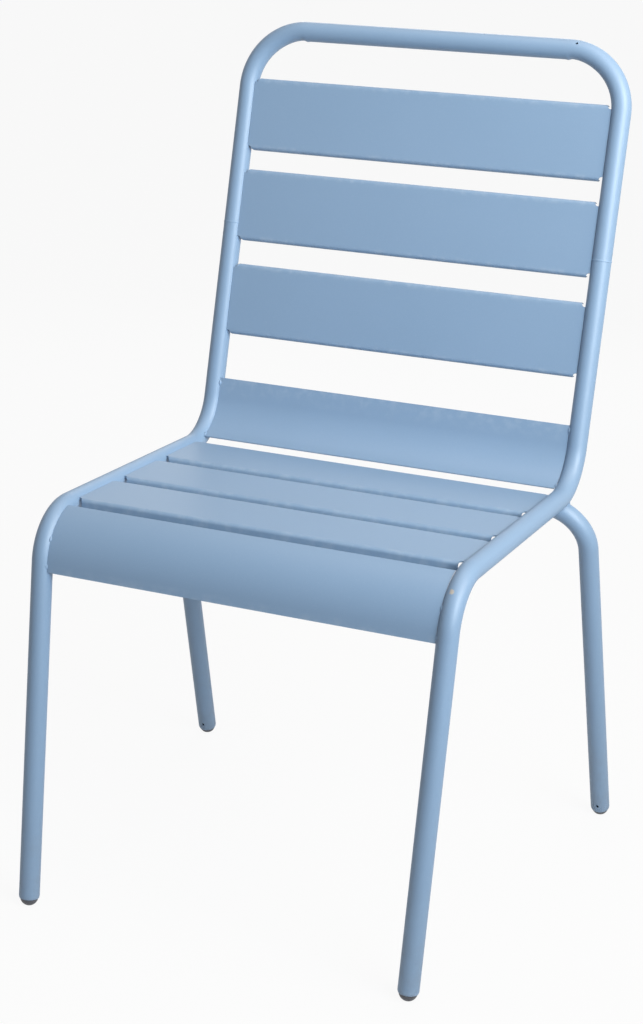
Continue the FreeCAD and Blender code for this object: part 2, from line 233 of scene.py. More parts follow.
def new_tree(name, inputs):
    """An empty geometry tree with named inputs, and a wire from each."""
    tree = bpy.data.node_groups.new(name, "GeometryNodeTree")
    tree.interface.new_socket("Geometry", in_out="INPUT", socket_type="NodeSocketGeometry")
    for label, (kind, value) in inputs.items():
        socket = tree.interface.new_socket(label, in_out="INPUT", socket_type="NodeSocket" + kind)
        if value is not None:
            socket.default_value = value
    tree.interface.new_socket("Geometry", in_out="OUTPUT", socket_type="NodeSocketGeometry")
    net = Net(tree)
    given = net.add("NodeGroupInput")
    return net, given


def finish_tree(net, geometry, coat):
    """Ends a tree: its shape as plain mesh, with its finish."""
    real = net.add("GeometryNodeRealizeInstances", values={"Geometry": geometry})
    coated = net.add("GeometryNodeSetMaterial", values={"Geometry": real, "Material": coat})
    net.add("NodeGroupOutput", values={"Geometry": coated})
    return net.tree


def link(name, mesh):
    """An object in the scene that holds a mesh."""
    made = bpy.data.objects.new(name, mesh)
    bpy.context.scene.collection.objects.link(made)
    return made


def settle(made):
    """Turns an object's modifiers into its mesh."""
    shapes = bpy.context.evaluated_depsgraph_get()
    mesh = bpy.data.meshes.new_from_object(made.evaluated_get(shapes), preserve_all_data_layers=True,
                                           depsgraph=shapes)
    made.modifiers.clear()
    made.data = mesh
    return made


def grown(made, tree, **inputs):
    """Runs a geometry tree on an object; an input is named as in the tree, with _ for a space."""
    modifier = made.modifiers.new("tree", "NODES")
    modifier.node_group = tree
    for socket in tree.interface.items_tree:
        key = socket.name.replace(" ", "_")
        if socket.in_out == "INPUT" and key in inputs:
            modifier[socket.identifier] = inputs[key]
    settle(made)
    made.data.materials.clear()
    if "Coat" in inputs:
        made.data.materials.append(inputs["Coat"])
    return made


def bent_line(name, points):
    """A line of points (place, bend radius, tube radius, wear) as a mesh of edges; wear may be left out."""
    mesh = bpy.data.meshes.new(name)
    mesh.from_pydata([p[0] for p in points], [(i, i + 1) for i in range(len(points) - 1)], [])
    for label, column in (("bend", 1), ("girth", 2), ("edge", 3)):
        values = [p[column] if column < len(p) else 0.0 for p in points]
        mesh.attributes.new(label, "FLOAT", "POINT").data.foreach_set("value", values)
    return link(name, mesh)


def tube_tree():
    """Sweeps a round section along a line of corners, with an arc at each corner."""
    net, given = new_tree("bent tube", {"Bend steps": ("Int", 30), "Round steps": ("Int", 48),
                                        "Closed ends": ("Bool", False), "Coat": ("Material", None)})
    bend = net.add("GeometryNodeInputNamedAttribute", {"data_type": "FLOAT"}, {"Name": "bend"})
    girth = net.add("GeometryNodeInputNamedAttribute", {"data_type": "FLOAT"}, {"Name": "girth"})
    line = net.add("GeometryNodeMeshToCurve", values={"Mesh": given.of("Geometry")})
    line = net.add("GeometryNodeFilletCurve", {"mode": "POLY"},
                   {"Curve": line, "Count": given.of("Bend steps"), "Radius": bend})
    ring = net.add("GeometryNodeCurvePrimitiveCircle", values={"Resolution": given.of("Round steps"),
                                                               "Radius": 1.0})
    tube = net.add("GeometryNodeCurveToMesh", values={"Curve": line, "Profile Curve": ring, "Scale": girth,
                                                      "Fill Caps": given.of("Closed ends")})
    return finish_tree(net, tube, given.of("Coat"))


def faces_out(made):
    """Turns a closed shape that is inside out the right way."""
    shape = bmesh.new()
    shape.from_mesh(made.data)
    bmesh.ops.remove_doubles(shape, verts=shape.verts, dist=1e-6)
    if shape.calc_volume(signed=True) < 0:
        bmesh.ops.reverse_faces(shape, faces=shape.faces)
    shape.to_mesh(made.data)
    shape.free()
    return made


def cut_by(made, tool):
    """Takes another object's shape away from a piece."""
    cut = made.modifiers.new("cut", "BOOLEAN")
    cut.operation = "DIFFERENCE"
    cut.solver = "EXACT"
    cut.object = tool
    return settle(made)


def drilled(made, start, direction, radius, depth):
    """A round hole from a point along a direction."""
    shape = bmesh.new()
    turn = Vector((0, 0, 1)).rotation_difference(direction).to_matrix().to_4x4()
    bmesh.ops.create_cone(shape, cap_ends=True, segments=24, radius1=radius, radius2=radius, depth=depth,
                          matrix=Matrix.Translation(start + direction.normalized() * depth / 2) @ turn)
    mesh = bpy.data.meshes.new("drill")
    shape.to_mesh(mesh)
    shape.free()
    tool = link("drill", mesh)
    cut_by(made, tool)
    bpy.data.objects.remove(tool)
    return made


def smooth(made, degrees=35):
    """Smooth shading, with edges sharper than an angle left sharp."""
    made.data.shade_smooth()
    made.data.set_sharp_from_angle(angle=math.radians(degrees))
    return made


def walled(made, wall):
    """Gives an open skin a wall on its inner side."""
    shell = made.modifiers.new("wall", "SOLIDIFY")
    shell.thickness = wall
    shell.offset = -1
    shell.use_even_offset = True
    return settle(made)


tube_coat = powder_coat("powder coat on tube", tube_roughness, tube_peel)
bent_tube = tube_tree()

rail_points = [(top_corner, top_bend)]
for reach in [kink_step * (i + 1) for i in range(kink_points)] + [kink_reach]:
    rail_points.append((Vector((half_frame - top_bend - reach, top_corner.y, top_corner.z)), 0.0))
rail_line = rail_points + [(Vector((-p.x, p.y, p.z)), bend) for p, bend in rail_points[::-1]]
hoop_line = [(joint, 0.0)] + rail_line + [(Vector((-joint.x, joint.y, joint.z)), 0.0)]
hoop = bent_line("hoop_tube", [(p, bend, tube_radius) for p, bend in hoop_line])
grown(hoop, bent_tube, Coat=tube_coat)


def kink_tree():
    """Pushes the underside of the top rail out just before each bend, and in where the bend starts."""
    net, given = new_tree("bend kinks", {"Bend starts": ("Float", 0.15), "Bulge": ("Float", 0.0005),
                                         "Hollow": ("Float", 0.0009), "Coat": ("Material", None)})
    place = net.add("GeometryNodeInputPosition")
    facing = net.add("GeometryNodeInputNormal")
    across = net.add("ShaderNodeSeparateXYZ", values={0: place}).size()
    under = (0.0 - net.add("ShaderNodeSeparateXYZ", values={0: facing}, out="Z")).most(0.0)
    past = across - given.of("Bend starts")
    bulge = net.ease(past, bulge_from, bulge_full) * (1.0 - net.ease(past, bulge_full, bulge_to))
    hollow = net.ease(past, hollow_from, hollow_full) * (1.0 - net.ease(past, hollow_fades, hollow_to))
    push = (given.of("Bulge") * bulge - given.of("Hollow") * hollow) * under * under
    move = net.add("ShaderNodeVectorMath", {"operation": "SCALE"}, {0: facing, "Scale": push})
    kinked = net.add("GeometryNodeSetPosition", values={"Geometry": given.of("Geometry"), "Offset": move})
    return finish_tree(net, kinked, given.of("Coat"))


grown(hoop, kink_tree(), Bend_starts=half_frame - top_bend, Coat=tube_coat)
walled(hoop, tube_wall)
faces_out(hoop)
vent = Vector((half_frame - vent_from_corner, top_corner.y, top_corner.z))
drilled(hoop, vent, Vector((0, -1, 1)), vent_radius, drill_reach)
smooth(hoop)
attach(hoop, "root")
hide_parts("back_hoop")

# ======================================================================== side frames
# Each side is one length of the same tube: lower upright, seat rail and front leg. The open end at
# the floor is swaged inwards so that it holds its plastic plug. The right one has a small chip
# in its coat, on the front bend.

front_bend = 0.055
back_bend = 0.060
front_leg_reach = 0.045
front_leg_toe_in = 0.0075
crimp_height = 0.011
crimp_radius = 0.008
tube_end_height = 0.008
crimp_steps = 8

# Wear grows from nothing, at a height above the floor, to full at the tube's end.
scuffs_from = 0.030
scuffs_halfway = 0.016
halfway_wear = 0.3
crimp_wear = 0.4

chip_from_corner = Vector((-0.0028, 0.0027, -0.0090))
chip_size = 0.0032


def crimped_radius(drop):
    """Radius of a swaged tube at a distance below the start of its swage."""
    return tube_radius - crimp_radius + math.sqrt(crimp_radius ** 2 - drop ** 2)


def swaged_points(foot, up):
    """Points of a leg's last stretch, where the tube closes in and gets scuffed near the floor."""
    points = [(foot + up * scuffs_from, 0.0, tube_radius, 0.0),
              (foot + up * scuffs_halfway, 0.0, tube_radius, halfway_wear)]
    for i in range(crimp_steps + 1):
        drop = (crimp_height - tube_end_height) * math.sin(math.pi / 2 * i / crimp_steps)
        wear = crimp_wear + (1 - crimp_wear) * i / crimp_steps
        points.append((foot + up * (crimp_height - drop), 0.0, crimped_radius(drop), wear))
    return points


def frame_corners(side):
    """Corners of a side frame's line, from the butt joint to the floor."""
    front_corner = Vector((half_frame, rear_corner.y - seat_depth, seat_rail_height))
    foot = Vector((half_frame - front_leg_toe_in, front_corner.y - front_leg_reach, 0))
    return [Vector((side * p.x, p.y, p.z)) for p in (joint, rear_corner, front_corner, foot)]


for name, side in (("left", -1), ("right", 1)):
    start, rear, front, foot = frame_corners(side)
    up = (front - foot).normalized()
    line = [(start, 0.0, tube_radius, 0.0), (rear, back_bend, tube_radius, 0.0),
            (front, front_bend, tube_radius, 0.0)] + swaged_points(foot, up)
    coat = tube_coat
    if name == "right":
        chip = (front + chip_from_corner, chip_size)
        coat = powder_coat("powder coat on right frame", tube_roughness, tube_peel, chip)
    made = bent_line("side_tube_" + name, line)
    grown(made, bent_tube, Coat=coat)
    faces_out(walled(made, tube_wall))
    smooth(made)
    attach(made, "root")
    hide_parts("side_frame_" + name)

# ======================================================================== rear legs
# Two lengths of the same tube, bent at the shoulder. The top end is coped to the underside of the
# seat rail and welded there, and the foot is swaged like the front ones. A small drain hole near the
# floor lets water out.

rear_leg_bend = 0.052
shoulder_outset = 0.029
shoulder_ahead = 0.035
shoulder_drop = 0.011
rear_foot_outset = 0.0385
rear_foot_behind = 0.094
leg_end_past_rail = 0.008
leg_drawn_from = 0.12
drain_height = 0.014
drain_radius = 0.0017


def rear_leg_corners(side):
    """Corners of a rear leg's line: its shoulder, and its foot on the floor."""
    shoulder = Vector((side * (half_frame + shoulder_outset), rear_corner.y - shoulder_ahead,
                       rear_corner.z - shoulder_drop))
    foot = Vector((side * (half_frame + rear_foot_outset), rear_corner.y + rear_foot_behind, 0))
    return shoulder, foot


def solid_bar(name, line, radius):
    """A closed bar along a line of corners, to cut other pieces with."""
    bar = bent_line(name, [(p, bend, radius) for p, bend in line])
    return faces_out(grown(bar, bent_tube, Closed_ends=True))


def sawn_off(made, place, outward):
    """Saws an open skin through at a place and keeps the side that outward points to."""
    shape = bmesh.new()
    shape.from_mesh(made.data)
    bmesh.ops.bisect_plane(shape, geom=shape.verts[:] + shape.edges[:] + shape.faces[:], plane_co=place,
                           plane_no=outward, clear_inner=True)
    shape.to_mesh(made.data)
    shape.free()
    return made


for name, side in (("left", -1), ("right", 1)):
    shoulder, foot = rear_leg_corners(side)
    up = (shoulder - foot).normalized()
    end = Vector((side * (half_frame - leg_end_past_rail), shoulder.y, shoulder.z))
    start = Vector((side * leg_drawn_from, shoulder.y, shoulder.z))
    line = [(start, 0.0, tube_radius, 0.0), (shoulder, rear_leg_bend, tube_radius, 0.0)]
    made = bent_line("rear_leg_tube_" + name, line + swaged_points(foot, up))
    grown(made, bent_tube, Coat=tube_coat)
    sawn_off(made, end, Vector((side, 0, 0)))
    faces_out(walled(made, tube_wall))
    start, rear, front, front_foot = frame_corners(side)
    rail = solid_bar("rail", [(start, 0.0), (rear, back_bend), (front, front_bend), (front_foot, 0.0)],
                     tube_radius)
    cut_by(made, rail)
    bpy.data.objects.remove(rail)
    drilled(made, foot + up * drain_height, Vector((0, -1, 0)), drain_radius, drill_reach)
    smooth(made)
    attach(made, "root")
    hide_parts("rear_leg_" + name)

# ======================================================================== joint sleeves
# A short drawn steel tube inside each upright lines up the butt joint of hoop and side frame. It is
# bare metal and is hidden once the joint is welded.

steel_dark = (0.42, 0.42, 0.43)
steel_bright = (0.62, 0.61, 0.60)
grain_per_metre = (900.0, 900.0, 25.0)


def drawn_steel(name):
    """Bare steel with the fine lines that drawing leaves along a tube."""
    material, net = new_material(name)
    place = net.add("ShaderNodeTexCoord", out="Object")
    long_grain = net.add("ShaderNodeMapping", values={"Vector": place, "Scale": grain_per_metre})
    grain = net.noise(long_grain, 1.0, detail=3.0)
    tint = net.mix(grain, steel_dark, steel_bright)
    bump = net.add("ShaderNodeBump", values={"Strength": 0.4, "Distance": 0.00002, "Height": grain})
    shader = net.add("ShaderNodeBsdfPrincipled", values={"Base Color": tint, "Roughness": 0.3 + 0.2 * grain,
                                                         "Metallic": 1.0, "Normal": bump})
    net.add("ShaderNodeOutputMaterial", values={"Surface": shader})
    return material


sleeve_steel = drawn_steel("drawn steel")
for name in ("left", "right"):
    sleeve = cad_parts["joint_sleeve_" + name]
    for material_slot in sleeve.material_slots:
        material_slot.material = sleeve_steel

# ======================================================================== feet
# Moulded polyethylene plugs pushed into the swaged tube ends. The domed head stands on a small flat,
# and a collar above the swage keeps the plug in. Scuffed and dusty from floors.

plug_flat = 0.004
plug_edge_inset = 0.0007
plug_stem = 0.0089
plug_collar = 0.0096
plug_collar_height = 0.0012
plug_sides = 48
head_steps = 10
head_let_in = 0.0003
collar_bevel = 0.0005

# The mould's gate leaves a small dimple in the middle of the flat.
gate_mark = 0.0012
gate_mark_floor = 0.0009
gate_mark_depth = 0.0004

plastic_dark = (0.070, 0.072, 0.085)
plastic_light = (0.105, 0.108, 0.125)
scuff_colour = (0.26, 0.25, 0.24)
scuff_height = 0.0035
scuffs_per_metre = 420.0
plastic_grain_per_metre = 1400.0


def floor_plastic(name):
    """Dark moulded plastic with a fine grain, scuffed pale next to the floor."""
    material, net = new_material(name)
    place = net.add("ShaderNodeTexCoord", out="Object")
    height = net.add("ShaderNodeSeparateXYZ", values={0: place}, out="Z")
    grain = net.noise(place, plastic_grain_per_metre, detail=3.0)
    scuffs = net.ease(net.noise(place, scuffs_per_metre, detail=5.0, roughness=0.65), 0.48, 0.70)
    worn = (1.0 - net.ease(height, 0.0, scuff_height)) * scuffs
    tint = net.mix(grain, plastic_dark, plastic_light)
    tint = net.mix(worn * 0.6, tint, scuff_colour)
    bump = net.add("ShaderNodeBump", values={"Strength": 0.8, "Distance": 0.00006, "Height": grain + scuffs})
    shader = net.add("ShaderNodeBsdfPrincipled",
                     values={"Base Color": tint, "Roughness": 0.50 + 0.25 * worn, "Normal": bump})
    net.add("ShaderNodeOutputMaterial", values={"Surface": shader})
    return material


def plug_outline():
    """Radius and height of the plug, from the middle of its flat to the top of its collar."""
    edge = crimped_radius(crimp_height - tube_end_height) - plug_edge_inset
    centre = (edge ** 2 - plug_flat ** 2 + tube_end_height ** 2) / (2 * tube_end_height)
    ball = math.hypot(plug_flat, centre)
    outline = [(gate_mark_floor, gate_mark_depth), (gate_mark, 0.0), (plug_flat * 0.7, 0.0)]
    for i in range(head_steps + 1):
        radius = plug_flat + (edge - plug_flat) * math.sin(math.pi / 2 * i / head_steps)
        outline.append((radius, centre - math.sqrt(ball ** 2 - radius ** 2)))
    head_top = tube_end_height + head_let_in
    top = crimp_height + plug_collar_height
    outline += [(edge, head_top), (plug_stem, head_top), (plug_stem, crimp_height),
                (plug_collar, crimp_height), (plug_collar, top - collar_bevel),
                (plug_collar - collar_bevel, top)]
    return outline


def turned_piece(name, outline, sides, turn):
    """A solid of revolution about Z with both poles closed, then turned and placed."""
    shape = bmesh.new()
    rings = []
    for radius, height in outline:
        ring = []
        for i in range(sides):
            angle = 2 * math.pi * i / sides
            ring.append(shape.verts.new((radius * math.cos(angle), radius * math.sin(angle), height)))
        rings.append(ring)
    for low, high in zip(rings, rings[1:]):
        for i in range(sides):
            j = (i + 1) % sides
            shape.faces.new((low[i], low[j], high[j], high[i]))
    for ring in (rings[0], rings[-1]):
        pole = shape.verts.new(sum((v.co for v in ring), Vector()) / sides)
        for i in range(sides):
            shape.faces.new((ring[i], ring[(i + 1) % sides], pole))
    bmesh.ops.recalc_face_normals(shape, faces=shape.faces)
    bmesh.ops.transform(shape, matrix=turn, verts=shape.verts)
    for vert in shape.verts:
        vert.co.z = max(vert.co.z, 0.0)
    mesh = bpy.data.meshes.new(name)
    shape.to_mesh(mesh)
    shape.free()
    return link(name, mesh)


foot_plastic = floor_plastic("grey moulded plastic")
for name, side in (("left", -1), ("right", 1)):
    front, front_foot = frame_corners(side)[2:]
    shoulder, rear_foot = rear_leg_corners(side)
    for end, foot, top in (("front", front_foot, front), ("rear", rear_foot, shoulder)):
        turn = Vector((0, 0, 1)).rotation_difference(top - foot).to_matrix().to_4x4()
        plug = turned_piece("foot_plug_%s_%s" % (end, name), plug_outline(), plug_sides,
                            Matrix.Translation(foot) @ turn)
        plug.data.materials.append(foot_plastic)
        smooth(plug, 40)
        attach(plug, "root")
        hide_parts("foot_%s_%s" % (end, name))

# ======================================================================== flat slats
# Six equal slats of 1.5 mm sheet steel, three on the back and three on the seat. Both long edges are
# folded back 90 degrees; the folds stop short of the tubes, and the ends are cut to the tube's
# curve. They are tacked to the frame from behind and below.

sheet = 0.0015
slat_width = 0.0825
face_height = 0.006
flange_depth = 0.009
fold_radius = 0.004
raw_edge = 0.0003
wear_width = 0.007
fold_wear = 0.8
end_gap = 0.0003

# From the raw edge inwards a corner notch is a step, a small chamfer and a bend up to its full depth.
notch_length = 0.0065
notch_depth = 0.0046
notch_step = 0.0004
notch_chamfer = (0.0010, 0.0004)
notch_bend = 0.0036
notch_bend_inset = 0.0014
notch_bend_from = 15
notch_bend_steps = 6
cutter_past_edge = 0.002
cutter_reach = 0.012

sheet_waviness = 0.0003
across_steps = 48
fold_steps = 8
seed_step = 3.7

sheet_roughness = 0.52
sheet_peel = 0.00004


def slat_tree():
    """Draws a closed section out to both sides, cuts its corners and trims its ends to the frame."""
    net, given = new_tree("folded slat", {"Half length": ("Float", 0.2), "Across steps": ("Int", 40),
                                          "Fold steps": ("Int", 10), "Waviness": ("Float", 0.0),
                                          "Waves per metre": ("Float", 6.0), "Seed": ("Float", 0.0),
                                          "Merge": ("Float", 0.000001), "Place": ("Vector", None),
                                          "Tilt": ("Float", 0.0), "Corner notches": ("Object", None),
                                          "Frame bar": ("Object", None), "Coat": ("Material", None)})
    bend = net.add("GeometryNodeInputNamedAttribute", {"data_type": "FLOAT"}, {"Name": "bend"})
    outline = net.add("GeometryNodeMeshToCurve", values={"Mesh": given.of("Geometry")})
    outline = net.add("GeometryNodeFilletCurve", {"mode": "POLY"},
                      {"Curve": outline, "Count": given.of("Fold steps"), "Radius": bend})
    half = given.of("Half length")
    start = net.add("ShaderNodeCombineXYZ", values={"X": 0.0 - half})
    end = net.add("ShaderNodeCombineXYZ", values={"X": half})
    run = net.add("GeometryNodeCurvePrimitiveLine", values={"Start": start, "End": end})
    run = net.add("GeometryNodeResampleCurve", values={"Curve": run, "Count": given.of("Across steps")})
    blank = net.add("GeometryNodeCurveToMesh", values={"Curve": run, "Profile Curve": outline,
                                                       "Fill Caps": True})
    blank = net.add("GeometryNodeMergeByDistance", values={"Geometry": blank,
                                                           "Distance": given.of("Merge")})
    place = net.add("GeometryNodeInputPosition")
    wave = net.noise(place, given.of("Waves per metre"), detail=1.0, seed=given.of("Seed"))
    wave = net.add("ShaderNodeCombineXYZ", values={"Z": (wave - 0.5) * given.of("Waviness")})
    blank = net.add("GeometryNodeSetPosition", values={"Geometry": blank, "Offset": wave})
    notches = net.add("GeometryNodeObjectInfo", values={"Object": given.of("Corner notches")},
                      out="Geometry")
    slat = net.add("GeometryNodeMeshBoolean", {"operation": "DIFFERENCE", "solver": "EXACT"},
                   {"Mesh 1": blank, "Mesh 2": notches})
    turn = net.add("ShaderNodeCombineXYZ", values={"X": given.of("Tilt")})
    slat = net.add("GeometryNodeTransform", values={"Geometry": slat, "Translation": given.of("Place"),
                                                    "Rotation": turn})
    bar = net.add("GeometryNodeObjectInfo", values={"Object": given.of("Frame bar")}, out="Geometry")
    slat = net.add("GeometryNodeMeshBoolean", {"operation": "DIFFERENCE", "solver": "EXACT"},
                   {"Mesh 1": slat, "Mesh 2": bar})
    return finish_tree(net, slat, given.of("Coat"))


def section_line(name, corners):
    """A closed section of corners (along the slat, height over the tube's axis, bend, edge wear)."""
    mesh = bpy.data.meshes.new(name)
    count = len(corners)
    mesh.from_pydata([(c[0], -c[1], 0) for c in corners], [(i, (i + 1) % count) for i in range(count)], [])
    for label, column in (("bend", 2), ("edge", 3)):
        mesh.attributes.new(label, "FLOAT", "POINT").data.foreach_set("value", [c[column] for c in corners])
    return link(name, mesh)


def flat_section():
    """Section of a flat slat: its face on top and a fold down at each long edge."""
    top = face_height
    low = face_height - flange_depth
    inner = fold_radius - sheet
    outer_side = [(0.0, low, raw_edge, 1.0), (0.0, top, fold_radius, fold_wear),
                  (wear_width, top, 0.0, 0.0), (slat_width - wear_width, top, 0.0, 0.0),
                  (slat_width, top, fold_radius, fold_wear), (slat_width, low, raw_edge, 1.0)]
    inner_side = [(slat_width - sheet, low, raw_edge, 1.0), (slat_width - sheet, top - sheet, inner, 0.0),
                  (sheet, top - sheet, inner, 0.0), (sheet, low, raw_edge, 1.0)]
    return outer_side + inner_side


def notch_cutter():
    """Four prisms that take the folded edges away next to the tubes."""
    tube_face = half_frame - math.sqrt(tube_radius ** 2 - face_height ** 2)
    inner = tube_face - notch_length
    points = [(inner, -cutter_past_edge), (inner, notch_step),
              (inner + notch_chamfer[0], notch_step + notch_chamfer[1])]
    for i in range(notch_bend_steps + 1):
        angle = math.radians(notch_bend_from + (90 - notch_bend_from) * i / notch_bend_steps)
        points.append((inner + notch_bend_inset + notch_bend * (1 - math.cos(angle)),
                       notch_depth - notch_bend * (1 - math.sin(angle))))
    points += [(half_frame, notch_depth), (half_frame, -cutter_past_edge)]
    shape = bmesh.new()
    for side in (-1, 1):
        for edge, inward in ((0.0, 1), (slat_width, -1)):
            rings = []
            for height in (-cutter_reach, cutter_reach):
                rings.append([shape.verts.new((side * x, -(edge + inward * s), height)) for x, s in points])
            shape.faces.new(rings[0])
            shape.faces.new(rings[1])
            for i in range(len(points)):
                j = (i + 1) % len(points)
                shape.faces.new((rings[0][i], rings[0][j], rings[1][j], rings[1][i]))
    bmesh.ops.recalc_face_normals(shape, faces=shape.faces)
    mesh = bpy.data.meshes.new("notches")
    shape.to_mesh(mesh)
    shape.free()
    return link("notches", mesh)


left, right = frame_corners(-1), frame_corners(1)
whole_frame = [(left[3], 0.0), (left[2], front_bend), (left[1], back_bend),
               (Vector((-half_frame, top_corner.y, top_corner.z)), top_bend), (top_corner, top_bend),
               (right[1], back_bend), (right[2], front_bend), (right[3], 0.0)]
frame_bar = solid_bar("frame_bar", whole_frame, tube_radius + end_gap)
notches = notch_cutter()
folded_slat = slat_tree()
sheet_coat = powder_coat("powder coat on sheet", sheet_roughness, sheet_peel)
# A blank ends halfway between the tube's face and its axis, and the frame bar trims it to the tube.
half_length = half_frame - math.sqrt(tube_radius ** 2 - face_height ** 2) / 2
forward = (right[2] - right[1]).normalized()

flat_slats = [("back_slat_top", down_back), ("back_slat_middle", down_back), ("back_slat_lower", down_back),
              ("seat_slat_rear", forward), ("seat_slat_middle", forward), ("seat_slat_front", forward)]
for seed, (name, heading) in enumerate(flat_slats):
    low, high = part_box(name)
    toward = Vector((0, heading.z, -heading.y))
    # The raw edges of the folds are the slat's rearmost and lowest corners.
    lip = face_height - flange_depth
    place = Vector((0, high.y - toward.y * lip, low.z - min(heading.z, 0) * slat_width - toward.z * lip))
    slat = section_line(name + "_sheet", flat_section())
    grown(slat, folded_slat, Half_length=half_length, Across_steps=across_steps, Fold_steps=fold_steps,
          Waviness=sheet_waviness, Seed=seed_step * seed, Place=place,
          Tilt=math.atan2(-heading.z, -heading.y), Corner_notches=notches, Frame_bar=frame_bar,
          Coat=sheet_coat)
    smooth(faces_out(slat), 30)
    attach(slat, "root")
    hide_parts(name)

# ======================================================================== curved slats
# Two slats of the same sheet, rolled instead of folded. The lumbar slat follows the bend between
# back and seat, and the front slat rolls over the front of the seat like a waterfall edge.

lumbar_straight = 0.0215
lumbar_turn = math.radians(61)
front_skipped_turn = math.radians(17)
front_straight = 0.0093
section_slack = 0.0003
inner_wear = 0.3
roll_steps = 24
first_rolled_seed = 31.0


def arc_corners(first_straight, radius, turn, last_straight, side):
    """Corners of a rolled sheet's section; side is 1 where it rolls away from the sitter."""
    outline = []
    for offset, wear in ((0.0, 1.0), (sheet, inner_wear)):
        bend = radius - side * offset
        reach = bend * math.tan(turn / 2)
        start = (0.0, face_height - offset)
        corner = (first_straight + reach, face_height - offset)
        run = reach + last_straight
        end = (corner[0] + run * math.cos(turn), corner[1] - side * run * math.sin(turn))
        points = [(*start, raw_edge / 2, wear), (*corner, bend - section_slack, 0.0),
                  (*end, raw_edge / 2, wear)]
        outline += points if offset == 0.0 else points[::-1]
    return outline


front_turn = math.pi - (right[1] - right[2]).angle(right[3] - right[2])
back_turn = math.pi - (top_corner - right[1]).angle(right[2] - right[1])
lumbar_start = right[1] - down_back * (back_bend * math.tan(back_turn / 2) + lumbar_straight)
front_start = right[2] - forward * (front_bend * math.tan(front_turn / 2))
roll_axis_drop = Vector((0, -forward.z, forward.y)) * front_bend
roll_centre = front_start + roll_axis_drop
tipped = Matrix.Rotation(front_skipped_turn, 3, "X")
front_heading = tipped @ forward
front_place = roll_centre - tipped @ roll_axis_drop
curved_slats = [
    ("lumbar_slat", lumbar_start, down_back,
     arc_corners(lumbar_straight, back_bend - face_height, lumbar_turn, 0.0, -1)),
    ("front_slat", front_place, front_heading,
     arc_corners(0.0, front_bend + face_height, front_turn - front_skipped_turn, front_straight, 1)),
]
for seed, (name, start, heading, section) in enumerate(curved_slats):
    place = Vector((0, start.y, start.z))
    slat = section_line(name + "_sheet", section)
    grown(slat, folded_slat, Half_length=half_length, Across_steps=across_steps, Fold_steps=roll_steps,
          Waviness=sheet_waviness, Seed=first_rolled_seed + seed_step * seed, Place=place,
          Tilt=math.atan2(-heading.z, -heading.y), Frame_bar=frame_bar, Coat=sheet_coat)
    smooth(faces_out(slat), 30)
    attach(slat, "root")
    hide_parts(name)
bpy.data.objects.remove(notches)
bpy.data.objects.remove(frame_bar)

# ======================================================================== welds
# Electric arc welds, ground only where the uprights are joined and coated with the frame. A bead
# runs round each butt joint and round the top of each rear leg, and short tacks hold the slats.

ring_bead_height = 0.00025
ring_bead_width = 0.0032
ring_bead_depth = 0.0009
ring_ripples = 34.0
ring_ripple_depth = 0.00003
first_ring_seed = 5.0
weld_grain = 0.00035
soft_share = 0.5
soft_rounds = 3
tack_length = 0.0065
tack_width = 0.0036
tack_height = 0.0015
tack_sink = -0.0002
tack_past_gap = 0.0003

# Tacks of the rolled slats, measured along the sheet.
lumbar_tacks_from_edges = (0.006, 0.005)
front_tack_on_roll = 0.046
front_tack_from_edge = 0.006

weld_roughness = 0.54
weld_peel = 0.00006

lumbar_roll = back_bend - face_height
lumbar_length = lumbar_straight + lumbar_roll * lumbar_turn
lumbar_tacks = (lumbar_tacks_from_edges[0], lumbar_length - lumbar_tacks_from_edges[1])
front_roll = front_bend + face_height
front_roll_turn = front_turn - front_skipped_turn
front_length = front_roll * front_roll_turn + front_straight
front_tacks = (front_tack_on_roll, front_length - front_tack_from_edge)
seam_reach = half_frame - math.sqrt((tube_radius + end_gap) ** 2 - face_height ** 2) + tack_past_gap


